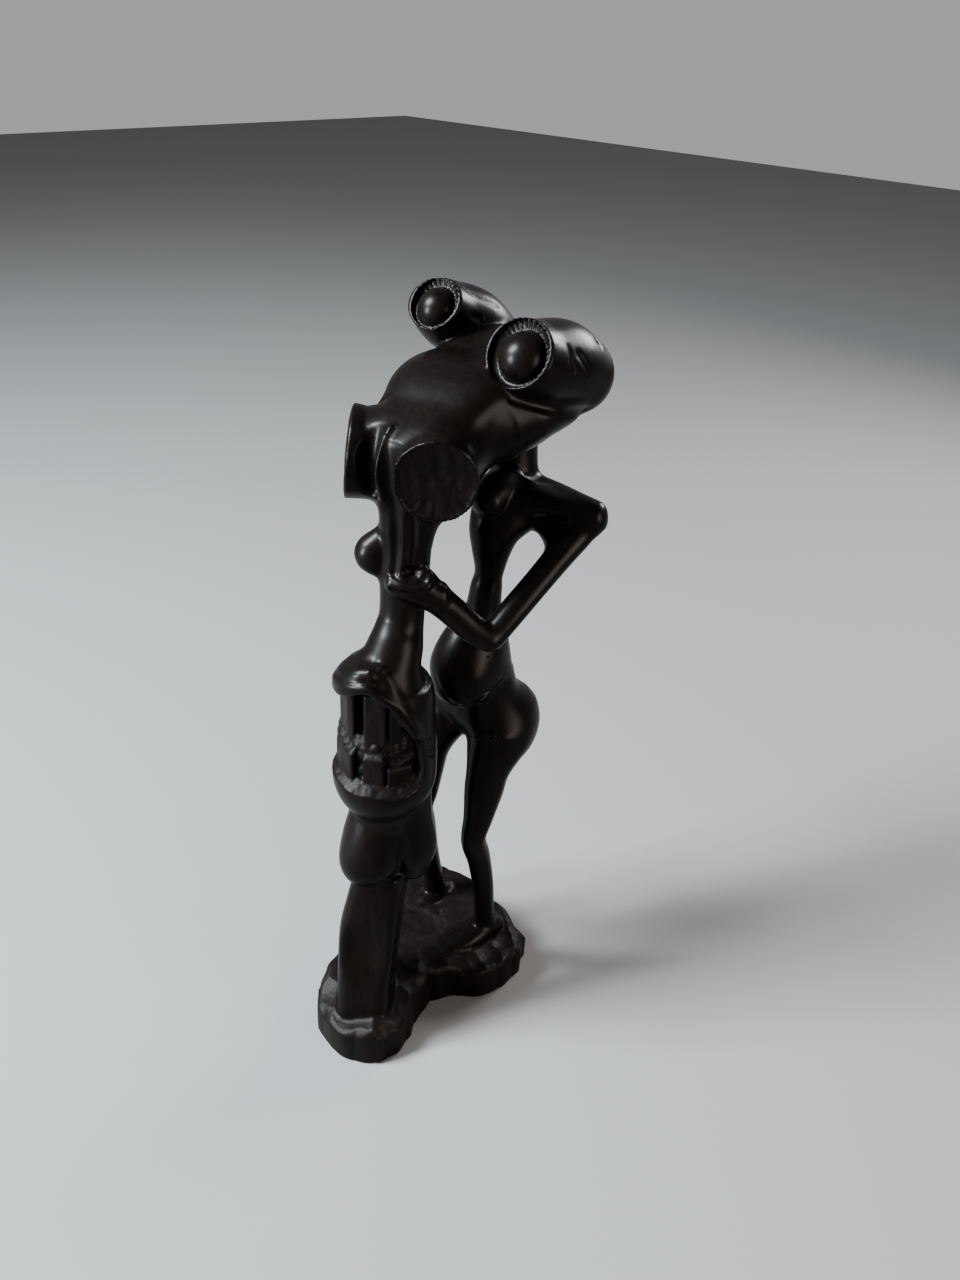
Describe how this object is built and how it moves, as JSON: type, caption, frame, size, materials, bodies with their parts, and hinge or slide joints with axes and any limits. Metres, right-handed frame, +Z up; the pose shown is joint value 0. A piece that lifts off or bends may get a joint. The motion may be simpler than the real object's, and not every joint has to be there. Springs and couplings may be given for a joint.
{
  "type": "carved wooden figurine",
  "caption": "Thin long-armed spirit figure on an uneven base, holding a pillar with a bulb and a wide toothed mouth that runs up into its own nose, all carved from one block.",
  "frame": {"origin": "on the underside of the base, in the figure's middle plane, between its feet and the pillar", "axes": "+Z up along the standing figure, -Y the way the figure faces, towards its pillar, +X the figure's left, the side of the bent arm"},
  "size_m": [0.0729, 0.1182, 0.2976],
  "materials": {
    "blackwood": "near-black brown wood, hand polished to a semi-gloss, left rough and duller on the base, in the mouth and in the nostrils"
  },
  "bodies": {
    "root": {"unity_figurine": "blackwood"}
  },
  "joints": []
}
